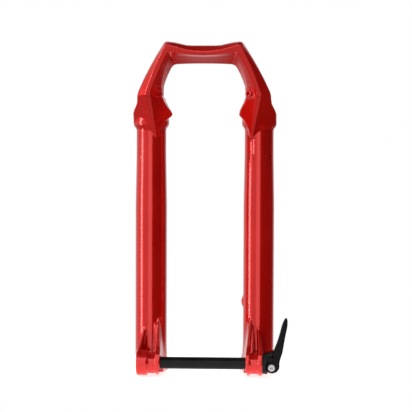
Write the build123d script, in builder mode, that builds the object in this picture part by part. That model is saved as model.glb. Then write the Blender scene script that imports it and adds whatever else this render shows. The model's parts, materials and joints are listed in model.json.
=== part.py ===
"""Lower-leg assembly of a bicycle suspension fork, with its cam-lock thru-axle.

Millimetres. Origin at the middle of the wheel axle, +Z up the legs, -Y to the front of the
bicycle, +X to the lever and brake side.
"""

from build123d import *
from math import cos, radians, sin, tan
import os

os.makedirs("parts", exist_ok=True)

# --- Driving dimensions ------------------------------------------------------------------------
# Wheel and axle
hub_width = 110.0  # between the two floors that the hub's end caps rest on
end_cap_dia = 21.0
end_cap_lip = 2.0  # depth of each end-cap recess
axle_dia = 15.0
axle_bore_dia = 10.0

# Legs
leg_spacing = 137.0
leg_setback = 36.0  # leg axes lie this far behind the axle
leg_dia = 38.8
neck_dia = 36.6  # the leg narrows under the collar
collar_dia = 44.0
collar_height = 14.0
collar_flare = 6.0
leg_top = 312.0
leg_foot = -17.2
foot_dia = 23.0
foot_chamfer = 6.5
foot_shoulder = 4.0  # height of the slighter slope above the foot's chamfer
leg_edge = 1.0
neck_top_taper = 261.0
neck_low_taper = 197.0

# Stanchion guides inside each leg
stanchion_dia = 32.0
running_clearance = 0.03
seat_clearance = 0.02  # between a seated piece and its seat, on radius
bushing_wall = 0.9
bushing_length = 20.0
lower_bushing_top = 172.0
relief_depth = 0.4  # the bore between the bushings is this much wider on radius
seal_seat_dia = 40.6
seal_seat_depth = 8.0
seal_lip_height = 3.0
seal_lip_wall = 2.4
foam_height = 8.0
foam_dia = 36.6
leg_floor = 11.0
garter_wire = 1.2
guide_gap = 0.3  # rubber and foam stand this far off the stanchion on radius
travel_clearance = 0.5  # the bore below the lower bushing clears the stanchion by this on radius
lip_relief = 0.8  # the seal's body is this much wider inside than its lip
lip_height = 1.2  # the lip, and the spring round it, start this far above the leg's top
seal_edge = 0.6
cut_margin = 1.0  # how far a cutting solid runs past what it cuts

# Arch
arch_foot = 318.0
outer_foot = 84.3  # half widths of the arch's outlines at its foot
crease_foot = 69.3
band_foot = 64.0
inner_foot = 47.5
arch_front = -2.0  # front of the arch at its foot
arch_depth = 24.0
arch_lean = 16.0  # degrees that the arch leans forwards
arch_chamfer = 9.0
arch_wall = 4.0
arch_recess = 8.0  # depth of the channel in the arch's back
arch_draft = 0.55  # how fast the arch's inner side slopes, across per unit of depth
gusset_tip = 279.0
gusset_tip_x = 59.3
gusset_tip_width = 4.0
gusset_tip_angle = 30.0  # degrees round the leg from its front
gusset_tip_depth = 6.0
wing_rise = 20.0  # the wing's top lies this far above the arch's foot
wing_fall = 5.0

# Dropouts
boss_dia = 28.6
boss_face_lever = 74.2  # outer face on the lever side
boss_face_thread = 82.8  # outer face on the thread side
rib_thickness = 7.0
outer_rib_thickness = 4.5
inner_rib_top = 56.0
outer_rib_top = 41.0
outer_rib_x = 76.0
pocket_floor = 12.0
pocket_base = -12.0
rib_setback = 14.0  # the top of a rib lies this far in front of the leg's axis
rib_foot = -13.0
rib_lean = 38.0  # degrees forward of the top at which a rib's front leaves the boss

# Brake posts, hose boss and foot bolts
post_spacing = 74.0
post_low = 0.5
post_x = 53.4
post_dia = 13.0
post_root_x = 58.0
post_root_dia = 22.0
post_face = 62.0
post_hole_dia = 6.0
post_hole_depth = 14.0
hose_boss_face = 54.5
hose_boss_z = 336.5
hose_boss_width = 12.0
hose_boss_reach = 12.0
hose_boss_corner = 2.5
hose_hole_dia = 5.0
hose_hole_depth = 8.0
foot_bolt_dia = 8.2

# Axle lock
insert_dia = 21.0
insert_length = 16.0
insert_flange_dia = 24.0
insert_flange = 1.5
thread_dia = 14.8
thread_relief = 0.6
thread_relief_length = 2.0
tube_chamfer = 0.8
dropout_clearance = 0.2  # the casting's own axle hole is this much wider on radius
sleeve_inset = 0.5  # the sleeve starts this far inside the hub's face
sleeve_wall = 1.25
washer_thickness = 0.8
washer_dia = 24.0
ring_wire = 1.1
ring_inset = 6.0  # the rubber ring lies this far inside the lever-side dropout
cup_dia = 26.4
cup_thickness = 6.0
head_dia = 19.0
head_thickness = 1.0
cup_wing_reach = 13.2
cup_wing_top = 17.5
cup_wing_foot = 10.9
tongue_wall = 1.6
tongue_gap = 0.5  # between the tongue and each side of the lever's slot
tongue_height = 6.0
tongue_drop = 2.0
slot_wall = 2.4
slot_reach = 12.0
slot_height = 13.6
pin_drop = 4.2  # the lever's pin lies this far below the axle
pin_reach = 11.5  # and this far outside the lever-side dropout
pin_dia = 8.8
pin_chamfer = 0.4
pin_key_radius = 1.45
pin_key_depth = 3.0
lever_width = 19.0
lever_slot = 7.0
lever_tip_width = 12.0
lever_waist_width = 15.0
cam_dia = 16.0
cam_offset_x = 0.5
cam_offset_z = 0.9
follower_gap = 0.35
cam_room = 0.4
follower_thickness = 1.4
follower_rise = 2.5  # its middle lies this far above the axle
lever_sweep = 100.0  # degrees from closed to fully open
rod_travel = 1.1
rod_guide_length = 4.0
follower_height = 9.0
follower_width = 16.0
follower_corner = 2.0
rod_dia = 5.0
slit_width = 1.2
slit_length = 18.0
cone_length = 10.0
cone_taper = 1.2  # the cone's radius grows by this from its outer to its inner end
cone_gap = 0.25
cone_inset = 2.0  # the cone starts this far inside the tube's end
spring_coils = 5
spring_wire = 0.8
spring_gap = 0.4  # between the spring and the rod on radius
spring_stretch = 1.6  # pitch of the coils, in wires

# --- Derived places ----------------------------------------------------------------------------
leg_x = leg_spacing / 2
hub_face = hub_width / 2
dropout_inner = hub_face - end_cap_lip
guide_dia = stanchion_dia + 2 * running_clearance
bushing_dia = guide_dia + 2 * bushing_wall
bushing_seat_dia = bushing_dia + 2 * seat_clearance
foam_top = leg_top - seal_seat_depth
upper_bushing_top = foam_top - foam_height
soft_bore_dia = stanchion_dia + 2 * guide_gap
pin_x = boss_face_lever + pin_reach
pin_z = -pin_drop
pin_axis = Axis((pin_x, 0, pin_z), (0, 1, 0))
tube_start = -boss_face_thread + insert_flange
cup_start = boss_face_lever + washer_thickness + 2 * seat_clearance


def leg_plane(side):
    """Upright plane through a leg's axis: local x is the radius, local y is the height."""
    return Plane(origin=(side * leg_x, leg_setback, 0), x_dir=(1, 0, 0), z_dir=(0, -1, 0))


def leg_axis(side):
    return Axis((side * leg_x, leg_setback, 0), (0, 0, 1))


def along_axle(x):
    """Plane square to the axle at this place along it."""
    return Plane(origin=(x, 0, 0), x_dir=(0, 1, 0), z_dir=(1, 0, 0))


def turned_ring(label, plane, axis, points):
    """A ring whose section is the polygon of the points, turned about the axis."""
    with BuildPart() as ring:
        with BuildSketch(plane):
            with BuildLine():
                Polyline(*points, close=True)
            make_face()
        revolve(axis=axis)
    ring.part.label = label
    return ring.part


def rectangle_ring(label, plane, axis, inner_dia, outer_dia, low, high):
    inner = inner_dia / 2
    outer = outer_dia / 2
    return turned_ring(label, plane, axis, [(inner, low), (outer, low), (outer, high), (inner, high)])


def torus_ring(label, plane, middle_radius, wire_dia):
    """A round-wire ring about the plane's normal."""
    with BuildPart() as ring:
        with BuildSketch(Plane(origin=plane.origin, x_dir=plane.x_dir, z_dir=plane.y_dir)):
            with Locations((middle_radius, 0)):
                Circle(wire_dia / 2)
        revolve(axis=Axis(plane.origin, plane.z_dir))
    ring.part.label = label
    return ring.part


# --- Arch outlines -----------------------------------------------------------------------------
# Each list runs up one half of the arch, from the foot past the shoulder and the corner to the
# middle, as (distance from the middle plane, height).
crease_line = [(crease_foot, arch_foot), (72.4, 335), (61.2, 365.5), (47.8, 393.5)]
crease_line += [(42.8, 395.6), (22, 390), (12, 387.6)]
outer_line = [(outer_foot, arch_foot), (83.7, 337), (69.2, 369.5), (50.6, 398)]
outer_line += [(44.9, 400.4), (25.5, 396.8), (18.5, 395)]
band_line = [(band_foot, arch_foot), (66, 338), (57.2, 362), (47.6, 381)]
band_line += [(42.5, 385.6), (22, 384.4), (12, 383.6)]
inner_line = [(inner_foot, arch_foot), (51.1, 341), (47.2, 358), (43.6, 365.5)]
inner_line += [(39.6, 372), (30, 375.7), (12, 378)]


def arch_plane(depth):
    """Plane of the leaning arch, this far behind its front."""
    lean = radians(arch_lean)
    origin = (0, arch_front + depth, arch_foot)
    return Plane(origin=origin, x_dir=(1, 0, 0), z_dir=(0, -cos(lean), -sin(lean)))


def arch_sketch(half_line, depth, below=0.0):
    """Closed outline of both halves, carried down below the foot by a small extra length."""
    stretch = 1 / cos(radians(arch_lean))
    half = [(x, (z - arch_foot) * stretch) for x, z in half_line]
    half = [(half[0][0], -below)] + half[1:] if below else half
    whole = half + [(-x, v) for x, v in reversed(half)]
    with BuildSketch(arch_plane(depth)) as outline:
        with BuildLine():
            Polyline(*whole, close=True)
        make_face()
    return outline.sketch


def grown(half_line, depth, amount):
    """The arch outline at a depth, grown outwards by the amount or shrunk by a negative one."""
    return offset(arch_sketch(half_line, depth), amount=amount, kind=Kind.INTERSECTION)


def build_arch_recess():
    """Channel in the back of the arch, between its outer and inner walls."""
    floor = arch_depth - arch_recess
    slope = arch_recess * arch_draft
    outer = [grown(outer_line, floor, -arch_wall), grown(outer_line, arch_depth + cut_margin, -arch_wall)]
    low = grown(inner_line, floor - cut_margin, arch_wall + slope)
    high = grown(inner_line, arch_depth + 2 * cut_margin, arch_wall)
    with BuildPart() as recess:
        loft(outer, ruled=True)
        loft([low, high], ruled=True, mode=Mode.SUBTRACT)
    return recess.part


def build_arch():
    with BuildPart() as arch:
        loft([arch_sketch(crease_line, 0), arch_sketch(outer_line, arch_chamfer)], ruled=True)
        loft([arch_sketch(outer_line, arch_chamfer), arch_sketch(outer_line, arch_depth)], ruled=True)
        front = arch_sketch(band_line, 0, cut_margin)
        back = arch_sketch(inner_line, arch_depth, cut_margin)
        loft([front, back], ruled=True, mode=Mode.SUBTRACT)
        add(build_arch_recess(), mode=Mode.SUBTRACT)
    return arch.part


def build_gusset(side):
    """Wedge from the arch's foot down the front of the leg to a point."""
    front = arch_front
    back = arch_front + arch_depth
    tip_y = leg_setback - (neck_dia / 2) * cos(radians(gusset_tip_angle))
    tip_back = tip_y + gusset_tip_depth
    root = [
        (side * outer_foot, back),
        (side * outer_foot, front + arch_chamfer),
        (side * crease_foot, front),
        (side * band_foot, front),
        (side * inner_foot, back),
    ]
    tip = [
        (side * (gusset_tip_x + gusset_tip_width / 2), tip_back),
        (side * (gusset_tip_x + gusset_tip_width / 3), tip_y + gusset_tip_depth / 4),
        (side * gusset_tip_x, tip_y),
        (side * (gusset_tip_x - gusset_tip_width / 5), tip_y),
        (side * (gusset_tip_x - gusset_tip_width / 2), tip_back),
    ]
    with BuildPart() as gusset:
        with BuildSketch(Plane.XY.offset(arch_foot + cut_margin)):
            with BuildLine():
                Polyline(*root, close=True)
            make_face()
        with BuildSketch(Plane.XY.offset(gusset_tip)):
            with BuildLine():
                Polyline(*tip, close=True)
            make_face()
        loft(ruled=True)
    return gusset.part


# Corners of the wing as (distance from the middle plane, y)
wing_top_outline = [(58, 6), (51.6, 9), (51.4, 14), (58, 17)]
wing_foot_outline = [(64, 8), (48.5, 18), (44.2, 31), (52, 36)]


def build_wing(side):
    """Fairing from the arch's inner side down to the inner side of the collar."""
    high = [(side * x, y) for x, y in wing_top_outline]
    low = [(side * x, y) for x, y in wing_foot_outline]
    with BuildPart() as wing:
        with BuildSketch(Plane.XY.offset(arch_foot + wing_rise)):
            with BuildLine():
                Polyline(*high, close=True)
            make_face()
        with BuildSketch(Plane.XY.offset(arch_foot - wing_fall)):
            with BuildLine():
                Polyline(*low, close=True)
            make_face()
        loft(ruled=True)
    return wing.part


def leg_profile():
    """Outside of one leg as (radius, height), from the foot up."""
    flare_top = leg_top - collar_height
    return [
        (0, leg_foot),
        (foot_dia / 2, leg_foot),
        (leg_dia / 2 - leg_edge, leg_foot + foot_chamfer),
        (leg_dia / 2, leg_foot + foot_chamfer + foot_shoulder),
        (leg_dia / 2, neck_low_taper),
        (neck_dia / 2, neck_top_taper),
        (neck_dia / 2, flare_top - collar_flare),
        (collar_dia / 2, flare_top),
        (collar_dia / 2, leg_top - leg_edge),
        (collar_dia / 2 - leg_edge, leg_top),
        (0, leg_top),
    ]


def bore_profile():
    """Inside of one leg as (radius, height), from the floor up."""
    seat = bushing_seat_dia / 2
    relief = seat + relief_depth
    low_top = lower_bushing_top
    high_low = upper_bushing_top - bushing_length
    floor = leg_foot + leg_floor
    travel = stanchion_dia / 2 + travel_clearance
    clear_top = gusset_tip + arch_foot - leg_foot
    return [
        (0, floor),
        (travel, floor),
        (travel, low_top - bushing_length),
        (seat, low_top - bushing_length),
        (seat, low_top),
        (relief, low_top + relief_depth),
        (relief, high_low - relief_depth),
        (seat, high_low),
        (seat, upper_bushing_top),
        (foam_dia / 2 + seat_clearance, upper_bushing_top),
        (foam_dia / 2 + seat_clearance, foam_top),
        (seal_seat_dia / 2, foam_top),
        (seal_seat_dia / 2, clear_top),
        (0, clear_top),
    ]


def rib_outline(height):
    """Side view of a dropout rib as (y, z): round the axle, back to the leg and up its front."""
    front = boss_dia / 2
    return [
        (-front * sin(radians(rib_lean)), front * cos(radians(rib_lean))),
        (leg_setback - rib_setback, height),
        (leg_setback, height),
        (leg_setback, rib_foot),
        (0, -front),
    ]


def build_dropout(side, outer_face):
    """Axle boss with an inner and an outer rib that run up into the leg, and a pocket between."""
    yz = Plane(origin=(side * dropout_inner, 0, 0), x_dir=(0, side, 0), z_dir=(side, 0, 0))
    outer_inside = min(outer_rib_x, outer_face) - outer_rib_thickness

    def rib(height):
        with BuildSketch() as sketch:
            Circle(boss_dia / 2)
            with BuildLine():
                Polyline(*[(side * y, z) for y, z in rib_outline(height)], close=True)
            make_face()
        return sketch.sketch

    with BuildPart() as dropout:
        with BuildSketch(yz):
            add(rib(inner_rib_top))
        extrude(amount=rib_thickness)
        with BuildSketch(yz.offset(outer_inside - dropout_inner)):
            add(rib(outer_rib_top))
        extrude(amount=outer_rib_thickness)
        with BuildSketch(yz):
            Circle(boss_dia / 2)
        extrude(amount=outer_face - dropout_inner)
        with BuildSketch(yz):
            with Locations((side * leg_setback / 2, (pocket_floor + pocket_base) / 2)):
                Rectangle(leg_setback, pocket_floor - pocket_base)
        extrude(amount=outer_inside + outer_rib_thickness - dropout_inner)
    return dropout.part


def build_casting():
    with BuildPart() as casting:
        for side in (-1, 1):
            with BuildSketch(leg_plane(side)):
                with BuildLine():
                    Polyline(*leg_profile(), close=True)
                make_face()
            revolve(axis=leg_axis(side))
            add(build_gusset(side))
            add(build_wing(side))
        add(build_arch())
        add(build_dropout(1, boss_face_lever))
        add(build_dropout(-1, boss_face_thread))
        # Brake posts behind the lever-side leg
        for level in (post_low, post_low + post_spacing):
            root = Plane(origin=(post_root_x, leg_setback, level), x_dir=(1, 0, 0), z_dir=(0, 1, 0))
            with BuildSketch(root):
                Circle(post_root_dia / 2)
            with BuildSketch(root.offset(post_face - leg_setback)):
                with Locations((post_x - post_root_x, 0)):
                    Circle(post_dia / 2)
            loft()
        # Hose-guide boss on the inside of the arch
        boss_y = arch_front - (hose_boss_z - arch_foot) * tan(radians(arch_lean)) + arch_chamfer
        hose_plane = Plane(origin=(hose_boss_face, boss_y, hose_boss_z), x_dir=(0, 1, 0), z_dir=(1, 0, 0))
        with BuildSketch(hose_plane):
            RectangleRounded(hose_boss_width, hose_boss_width, hose_boss_corner)
        extrude(amount=hose_boss_reach)
        # Bores
        for side in (-1, 1):
            with BuildSketch(leg_plane(side)):
                with BuildLine():
                    Polyline(*bore_profile(), close=True)
                make_face()
            revolve(axis=leg_axis(side), mode=Mode.SUBTRACT)
            with BuildSketch(Plane(origin=(side * leg_x, leg_setback, leg_foot - cut_margin))):
                Circle(foot_bolt_dia / 2)
            extrude(amount=leg_floor + 2 * cut_margin, mode=Mode.SUBTRACT)
            # End-cap recess, open downwards so that the wheel lifts in
            start = side * (dropout_inner - cut_margin)
            outward = Plane(origin=(start, 0, 0), x_dir=(0, 1, 0), z_dir=(side, 0, 0))
            with BuildSketch(outward):
                Circle(end_cap_dia / 2)
                with Locations((0, -boss_dia / 2)):
                    Rectangle(end_cap_dia, boss_dia)
            extrude(amount=end_cap_lip + cut_margin, mode=Mode.SUBTRACT)
        sleeve_seat = axle_dia / 2 + running_clearance + sleeve_wall + seat_clearance
        with BuildSketch(along_axle(hub_face - cut_margin)):
            Circle(sleeve_seat)
        extrude(amount=boss_face_lever - hub_face + 2 * cut_margin, mode=Mode.SUBTRACT)
        with BuildSketch(along_axle(-boss_face_thread)):
            Circle(axle_dia / 2 + dropout_clearance)
        extrude(amount=boss_face_thread - hub_face + cut_margin, mode=Mode.SUBTRACT)
        with BuildSketch(along_axle(-boss_face_thread - cut_margin)):
            Circle(insert_dia / 2 + seat_clearance)
        extrude(amount=insert_length + cut_margin, mode=Mode.SUBTRACT)
        with BuildSketch(along_axle(-boss_face_thread - cut_margin)):
            Circle(insert_flange_dia / 2 + seat_clearance)
        extrude(amount=insert_flange + cut_margin, mode=Mode.SUBTRACT)
        for level in (post_low, post_low + post_spacing):
            with BuildSketch(Plane(origin=(post_x, post_face, level), x_dir=(1, 0, 0), z_dir=(0, -1, 0))):
                Circle(post_hole_dia / 2)
            extrude(amount=post_hole_depth, mode=Mode.SUBTRACT)
        with BuildSketch(hose_plane):
            Circle(hose_hole_dia / 2)
        extrude(amount=hose_hole_depth, mode=Mode.SUBTRACT)
    casting.part.label = "lower_casting"
    return casting.part


def build_leg_guides(side, name):
    """Bushings, foam ring, wiper seal and garter spring of one leg."""
    plane = leg_plane(side)
    axis = leg_axis(side)
    tops = {"upper_bushing": upper_bushing_top, "lower_bushing": lower_bushing_top}
    pieces = []
    for kind, top in tops.items():
        pieces.append(
            rectangle_ring(f"{name}_{kind}", plane, axis, guide_dia, bushing_dia, top - bushing_length, top)
        )
    low = upper_bushing_top + seat_clearance
    high = foam_top - seat_clearance
    pieces.append(rectangle_ring(f"{name}_foam_ring", plane, axis, soft_bore_dia, foam_dia, low, high))
    bore = soft_bore_dia / 2
    outer = seal_seat_dia / 2 - seat_clearance
    lip = bore + seal_lip_wall
    groove = garter_wire / 2
    middle = leg_top + lip_height
    wiper = [
        (bore + lip_relief, foam_top + seat_clearance),
        (outer, foam_top + seat_clearance),
        (outer, leg_top - seal_edge),
        (outer - seal_edge, leg_top),
        (lip, leg_top),
        (lip, middle - groove),
        (lip - groove, middle - groove),
        (lip - groove, middle + groove),
        (lip, middle + groove),
        (lip - seal_lip_wall / 2, leg_top + seal_lip_height),
        (bore, leg_top + seal_lip_height),
        (bore, middle),
        (bore + lip_relief, middle - seal_lip_height),
    ]
    pieces.append(turned_ring(f"{name}_wiper_seal", plane, axis, wiper))
    spring_section = garter_wire - 2 * seat_clearance
    spring_plane = Plane(origin=(side * leg_x, leg_setback, middle), x_dir=(1, 0, 0), z_dir=(0, 0, 1))
    pieces.append(torus_ring(f"{name}_garter_spring", spring_plane, lip + seat_clearance, spring_section))
    return pieces


# --- Axle ---------------------------------------------------------------------------------------

def axle_ring(label, inner_dia, outer_dia, start, end):
    with BuildPart() as ring:
        with BuildSketch(along_axle(start)):
            Circle(outer_dia / 2)
            Circle(inner_dia / 2, mode=Mode.SUBTRACT)
        extrude(amount=end - start)
    ring.part.label = label
    return ring.part


def build_insert():
    """Threaded bush with a flange, in the dropout away from the lever."""
    bore = thread_dia + 2 * running_clearance
    with BuildPart() as insert:
        with BuildSketch(along_axle(-boss_face_thread)):
            Circle(insert_dia / 2)
        extrude(amount=insert_length - seat_clearance)
        with BuildSketch(along_axle(-boss_face_thread)):
            Circle(insert_flange_dia / 2)
        extrude(amount=insert_flange - seat_clearance)
        with BuildSketch(along_axle(-boss_face_thread - cut_margin)):
            Circle(bore / 2)
        extrude(amount=insert_length + 2 * cut_margin, mode=Mode.SUBTRACT)
    insert.part.label = "thread_insert"
    return insert.part


cone_inner_radius = axle_bore_dia / 2 - cone_gap
cone_outer_radius = cone_inner_radius - cone_taper
cone_start = tube_start + cone_inset
ring_x = boss_face_lever - ring_inset
tube_end = cup_start + head_thickness


def build_tube():
    """Hollow axle with a slit, tapered thread end."""
    thread_end = -boss_face_thread + insert_length + cut_margin
    relief_end = thread_end + thread_relief_length
    tip_bore = axle_bore_dia / 2 - cone_taper
    groove = ring_wire / 2 + running_clearance
    with BuildPart() as tube:
        with BuildSketch(Plane.XZ):
            with BuildLine():
                Polyline(
                    (tube_start, tip_bore),
                    (tube_start, thread_dia / 2 - tube_chamfer),
                    (tube_start + tube_chamfer, thread_dia / 2),
                    (thread_end, thread_dia / 2),
                    (thread_end, thread_dia / 2 - thread_relief),
                    (relief_end, thread_dia / 2 - thread_relief),
                    (relief_end, axle_dia / 2),
                    (ring_x - groove, axle_dia / 2),
                    (ring_x - groove, axle_dia / 2 - 2 * groove),
                    (ring_x + groove, axle_dia / 2 - 2 * groove),
                    (ring_x + groove, axle_dia / 2),
                    (cup_start, axle_dia / 2),
                    (cup_start, head_dia / 2),
                    (tube_end, head_dia / 2),
                    (tube_end, axle_bore_dia / 2),
                    (cone_start + cone_length, axle_bore_dia / 2),
                    (cone_start, tip_bore),
                    close=True,
                )
            make_face()
        revolve(axis=Axis.X)
        for turn in (0, 90):
            with BuildSketch(along_axle(tube_start - cut_margin)):
                Rectangle(axle_dia + cut_margin, slit_width, rotation=turn)
            extrude(amount=slit_length + cut_margin, mode=Mode.SUBTRACT)
    tube.part.label = "axle_tube"
    return tube.part


cam_radius = cam_dia / 2
# Height of the follower's lower edge over the cam's middle, where the two come closest
follower_drop = follower_rise - follower_height / 2 - pin_z - cam_offset_z
follower_face = pin_x + cam_offset_x - (cam_radius**2 - follower_drop**2) ** 0.5 - follower_gap
follower_back = follower_face - follower_thickness
rod_start = cone_start + cone_length
spring_pitch = spring_wire * spring_stretch
spring_end = follower_back - spring_wire / 2 - seat_clearance
spring_start = spring_end - spring_pitch * (spring_coils - 1)
guide_end = spring_start - spring_wire / 2 - seat_clearance


def build_cone():
    with BuildPart() as cone:
        with BuildSketch(Plane.XZ):
            with BuildLine():
                Polyline(
                    (cone_start, 0),
                    (cone_start, cone_outer_radius),
                    (cone_start + cone_length, cone_inner_radius),
                    (cone_start + cone_length, 0),
                    close=True,
                )
            make_face()
        revolve(axis=Axis.X)
    cone.part.label = "expander_cone"
    return cone.part


def build_rod():
    with BuildPart() as rod:
        with BuildSketch(along_axle(rod_start)):
            Circle(rod_dia / 2)
        extrude(amount=follower_back - rod_start)
    rod.part.label = "push_rod"
    return rod.part


def build_follower():
    """Plate that both cheeks of the lever's cam press on."""
    with BuildPart() as follower:
        with BuildSketch(along_axle(follower_back)):
            with Locations((0, follower_rise)):
                RectangleRounded(follower_width, follower_height, follower_corner)
        extrude(amount=follower_thickness)
    follower.part.label = "cam_follower"
    return follower.part


def build_spring():
    """Return spring of round wire between the rod guide and the follower."""
    radius = rod_dia / 2 + spring_gap + spring_wire / 2
    height = spring_pitch * (spring_coils - 1)
    with BuildPart() as spring:
        with BuildLine() as coil:
            Helix(spring_pitch, height, radius, center=(spring_start, 0, 0), direction=(1, 0, 0))
        with BuildSketch(Plane(origin=coil.line @ 0, z_dir=coil.line % 0)):
            Circle(spring_wire / 2)
        sweep(path=coil.line, is_frenet=True)
    spring.part.label = "return_spring"
    return spring.part


def disc(x, z, radius, width):
    with BuildPart() as plate:
        with BuildSketch(Plane.XZ.offset(-width / 2)):
            with Locations((x, z)):
                Circle(radius)
        extrude(amount=width)
    return plate.part


def build_cup():
    """Flange on the axle's end, with a wing above the lever and a tongue for its pin."""
    end = cup_start + cup_thickness
    wing_end = boss_face_lever + cup_wing_reach
    root = cup_wing_foot / 4
    wing = [
        (cup_start, root),
        (cup_start, cup_dia / 2),
        (end, (cup_dia / 2 + cup_wing_top) / 2),
        (wing_end, cup_wing_top),
        (wing_end, cup_wing_foot),
        (end + root / 2, 2 * root),
        (end, root),
    ]
    with BuildPart() as cup:
        with BuildSketch(along_axle(cup_start)):
            Circle(cup_dia / 2)
        extrude(amount=cup_thickness)
        with BuildSketch(Plane.XZ.offset(-lever_width / 2)):
            with BuildLine():
                Polyline(*wing, close=True)
            make_face()
        extrude(amount=lever_width)
        # Room for the cam, closed and fully open
        for turn in (0, lever_sweep / 2, lever_sweep):
            across = cam_offset_x * cos(radians(turn)) + cam_offset_z * sin(radians(turn))
            up = cam_offset_z * cos(radians(turn)) - cam_offset_x * sin(radians(turn))
            add(disc(pin_x + across, pin_z + up, cam_radius + cam_room, cup_dia), mode=Mode.SUBTRACT)
        # Tongue
        neck = pin_x - cup_start
        tongue = lever_slot - 2 * tongue_gap
        add(disc(pin_x, pin_z, pin_dia / 2 + tongue_wall, tongue))
        with BuildSketch(Plane.XZ.offset(-tongue / 2)):
            with Locations((pin_x - neck / 2, pin_z - tongue_drop)):
                Rectangle(neck, tongue_height)
        extrude(amount=tongue)
        # Room for the follower and the axle's bore, then the pin's hole
        with BuildSketch(along_axle(follower_back - cam_room)):
            with Locations((0, follower_rise)):
                RectangleRounded(follower_width + 1, follower_height + 1, follower_corner)
        extrude(amount=follower_thickness + rod_travel + 2 * cam_room, mode=Mode.SUBTRACT)
        with BuildSketch(along_axle(cup_start - cut_margin)):
            Circle(head_dia / 2 + seat_clearance)
        extrude(amount=head_thickness + cut_margin + seat_clearance, mode=Mode.SUBTRACT)
        with BuildSketch(along_axle(cup_start - cut_margin)):
            Circle(rod_dia / 2 + travel_clearance)
        extrude(amount=cup_thickness, mode=Mode.SUBTRACT)
        add(disc(pin_x, pin_z, pin_dia / 2 + seat_clearance, cup_dia), mode=Mode.SUBTRACT)
    cup.part.label = "lever_cup"
    return cup.part


def build_pin():
    with BuildPart() as pin:
        add(disc(pin_x, pin_z, pin_dia / 2, lever_width))
        with BuildSketch(Plane(origin=(pin_x, -lever_width / 2, pin_z), x_dir=(1, 0, 0), z_dir=(0, 1, 0))):
            RegularPolygon(pin_key_radius, 6)
        extrude(amount=pin_key_depth, mode=Mode.SUBTRACT)
        chamfer(pin.edges().filter_by(GeomType.CIRCLE), pin_chamfer)
    pin.part.label = "cam_pin"
    return pin.part


# Outline of the lever in (x - pin_x, z - pin_z), from the cam up the outer side and down the inner
blade_outer = [(4.6, -4.8), (8.6, -2.4), (10.1, 0.3), (10.2, 5.2), (11.5, 10.3), (12.8, 15.3), (13.8, 20.3)]
blade_outer += [(15.2, 29.8), (17.2, 39.8), (19.3, 48), (19.9, 53), (19.7, 59.4), (18.9, 61.1), (17.7, 61.7)]
blade_inner = [(16.6, 61.3), (15.2, 59.6), (12.7, 55), (10.8, 49.7), (8.6, 39.7), (5.4, 29.7), (3.7, 25.2)]
blade_inner += [(2.5, 21.8), (2.7, 15), (1.0, 11.6), (-1.5, 9), (-3, 5)]


def build_lever():
    with BuildPart() as lever:
        with BuildSketch(Plane.XZ.offset(-lever_width / 2)):
            with BuildLine():
                Polyline(*[(pin_x + x, pin_z + z) for x, z in blade_outer + blade_inner], close=True)
            make_face()
            with Locations((pin_x + cam_offset_x, pin_z + cam_offset_z)):
                Circle(cam_radius)
        extrude(amount=lever_width)
        # The paddle narrows towards its tip
        blade_top = blade_inner[0][1] + pin_z + cut_margin
        levels = [pin_z - cam_radius - cut_margin, blade_top / 5, blade_top * 3 / 5, blade_top]
        widths = [lever_width, lever_width, lever_waist_width, lever_tip_width]
        side_view = [(width / 2, level) for level, width in zip(levels, widths)]
        side_view += [(-y, level) for y, level in reversed(side_view)]
        with BuildSketch(along_axle(pin_x - cam_dia)):
            with BuildLine():
                Polyline(*side_view, close=True)
            make_face()
        extrude(amount=3 * cam_dia, mode=Mode.INTERSECT)
        # Slot for the cup's tongue
        add(disc(pin_x, pin_z, pin_dia / 2 + slot_wall, lever_slot), mode=Mode.SUBTRACT)
        with BuildSketch(Plane.XZ.offset(-lever_slot / 2)):
            with Locations((pin_x - slot_reach / 2, pin_z - tongue_gap)):
                Rectangle(slot_reach, slot_height)
            with Locations((pin_x, pin_z - slot_height / 3)):
                Rectangle(slot_height, slot_height * 2 / 3)
        extrude(amount=lever_slot, mode=Mode.SUBTRACT)
        hole = pin_dia / 2 + running_clearance + seat_clearance
        add(disc(pin_x, pin_z, hole, lever_width + cut_margin), mode=Mode.SUBTRACT)
    lever.part.label = "cam_lever"
    return lever.part


pieces = [build_casting()]
for side, name in ((-1, "right"), (1, "left")):
    pieces += build_leg_guides(side, name)
sleeve_bore = axle_dia + 2 * running_clearance
guide_bore = rod_dia + 2 * running_clearance
sleeve_start = hub_face + sleeve_inset
washer_start = boss_face_lever + seat_clearance
pieces += [
    build_insert(),
    build_tube(),
    build_cone(),
    build_rod(),
    build_follower(),
    build_spring(),
    build_cup(),
    build_pin(),
    build_lever(),
    axle_ring("axle_sleeve", sleeve_bore, sleeve_bore + 2 * sleeve_wall, sleeve_start, boss_face_lever),
    axle_ring("thrust_washer", sleeve_bore, washer_dia, washer_start, cup_start - seat_clearance),
    axle_ring("rod_guide", guide_bore, axle_bore_dia, guide_end - rod_guide_length, guide_end),
    torus_ring("axle_o_ring", along_axle(ring_x), axle_dia / 2 - ring_wire / 2, ring_wire),
]
for piece in pieces:
    export_step(piece, f"parts/{piece.label}.step")
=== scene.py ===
"""Lower legs of a suspension fork with a cam-lock thru-axle, dressed for rendering.

The frame gives every size in metres. The casting and the lever are solids written as distance
fields in millimetres, and one contouring routine turns each field into a closed mesh.
"""

import json
import math

import bpy
import numpy as np
from mathutils import Matrix, Vector


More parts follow.
